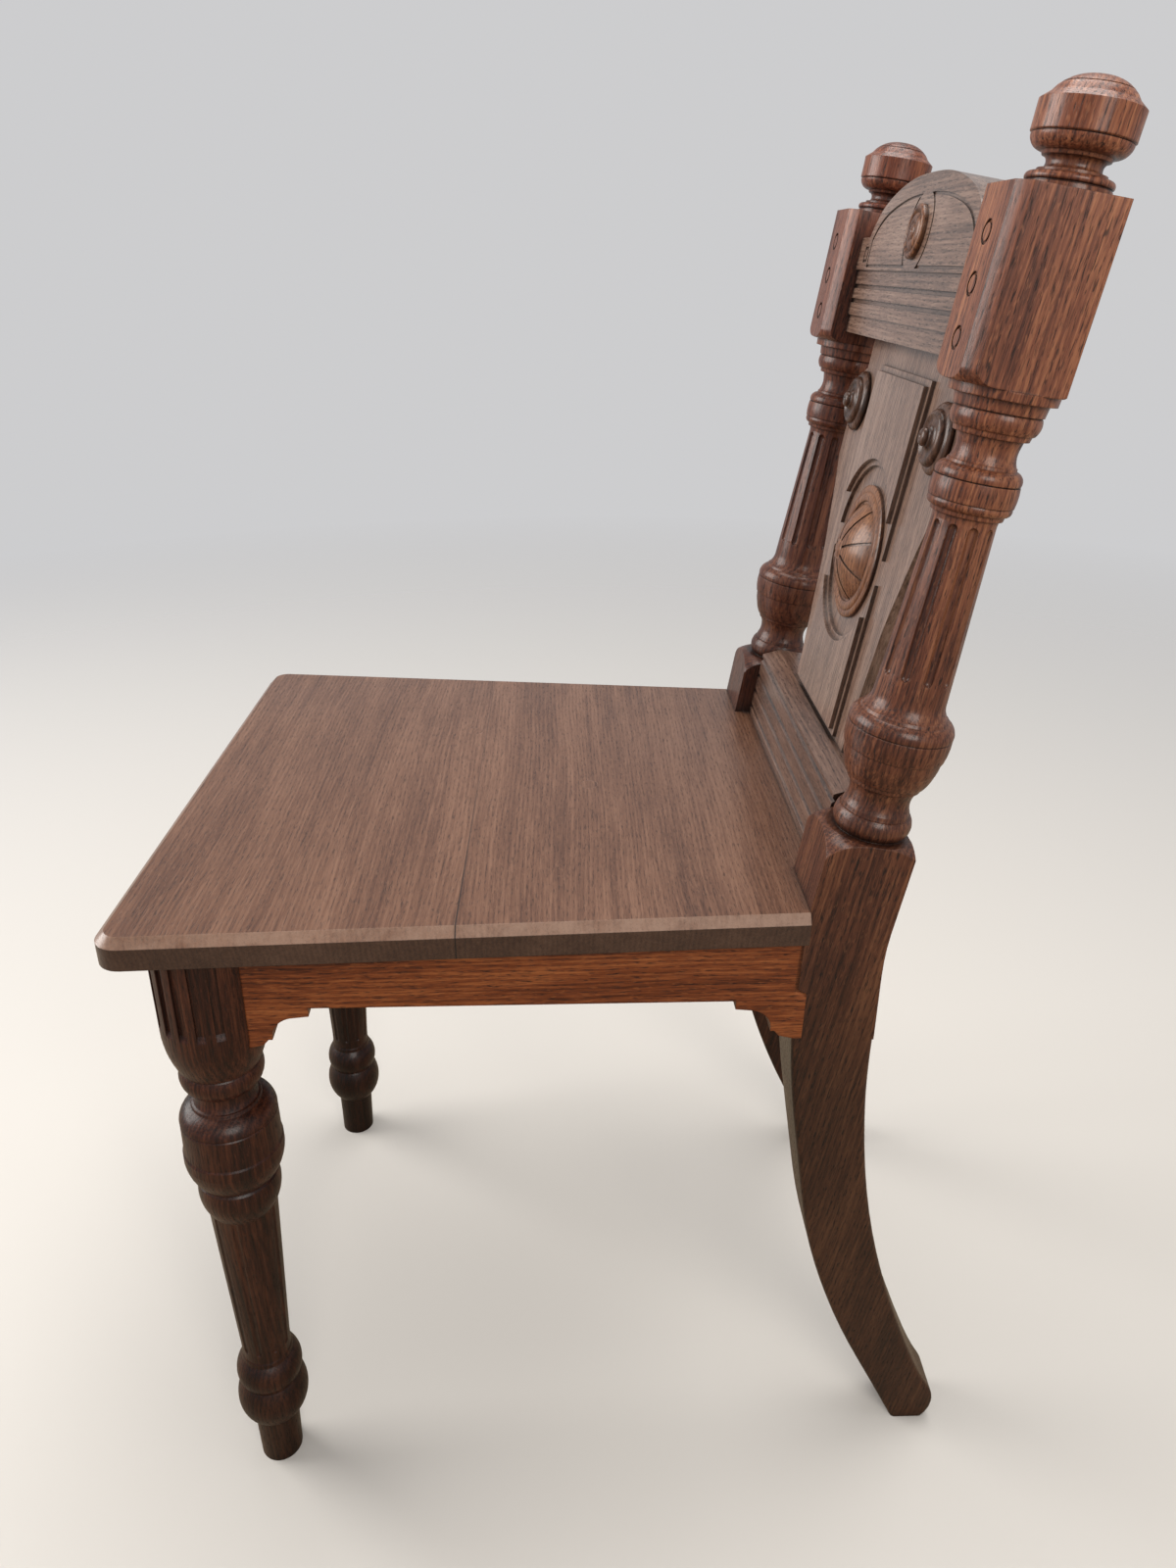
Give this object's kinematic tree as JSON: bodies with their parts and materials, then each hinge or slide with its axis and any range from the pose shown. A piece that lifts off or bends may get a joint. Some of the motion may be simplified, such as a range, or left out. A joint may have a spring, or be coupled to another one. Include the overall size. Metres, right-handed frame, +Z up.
{
  "type": "hall chair",
  "caption": "Carved oak hall chair with a solid seat, turned front legs, fluted back posts on sabre legs, and a shaped back panel with a roundel.",
  "frame": {"origin": "on the floor, under the middle of the seat's width and of the chair's whole depth", "axes": "+Z up, the sitter faces -Y, +X is the sitter's left"},
  "size_m": [0.4038, 0.5088, 0.8402],
  "materials": {
    "oak_turned": "dark stained oak, satin varnish",
    "oak_frame": "dark stained oak, satin varnish",
    "oak_panel": "dark stained oak, satin varnish",
    "oak_seat": "dark stained oak, worn satin varnish",
    "screw_steel": "dull steel"
  },
  "bodies": {
    "root": {"front_leg_left": "oak_turned", "front_leg_right": "oak_turned", "back_post_left": "oak_turned", "back_post_right": "oak_turned", "front_rail": "oak_frame", "rear_rail": "oak_frame", "side_rail_left": "oak_frame", "side_rail_right": "oak_frame", "lower_back_rail": "oak_frame", "top_rail": "oak_frame", "back_panel": "oak_panel", "roundel_boss": "oak_panel", "patera_left": "oak_panel", "patera_right": "oak_panel", "crest_patera": "oak_panel", "corner_block_front_left": "oak_frame", "corner_block_front_right": "oak_frame", "corner_block_rear_left": "oak_frame", "corner_block_rear_right": "oak_frame", "seat_board_front": "oak_seat", "seat_board_rear": "oak_seat", "seat_dowels": "oak_frame", "seat_plugs": "oak_seat", "seat_screws": "screw_steel"}
  },
  "joints": []
}
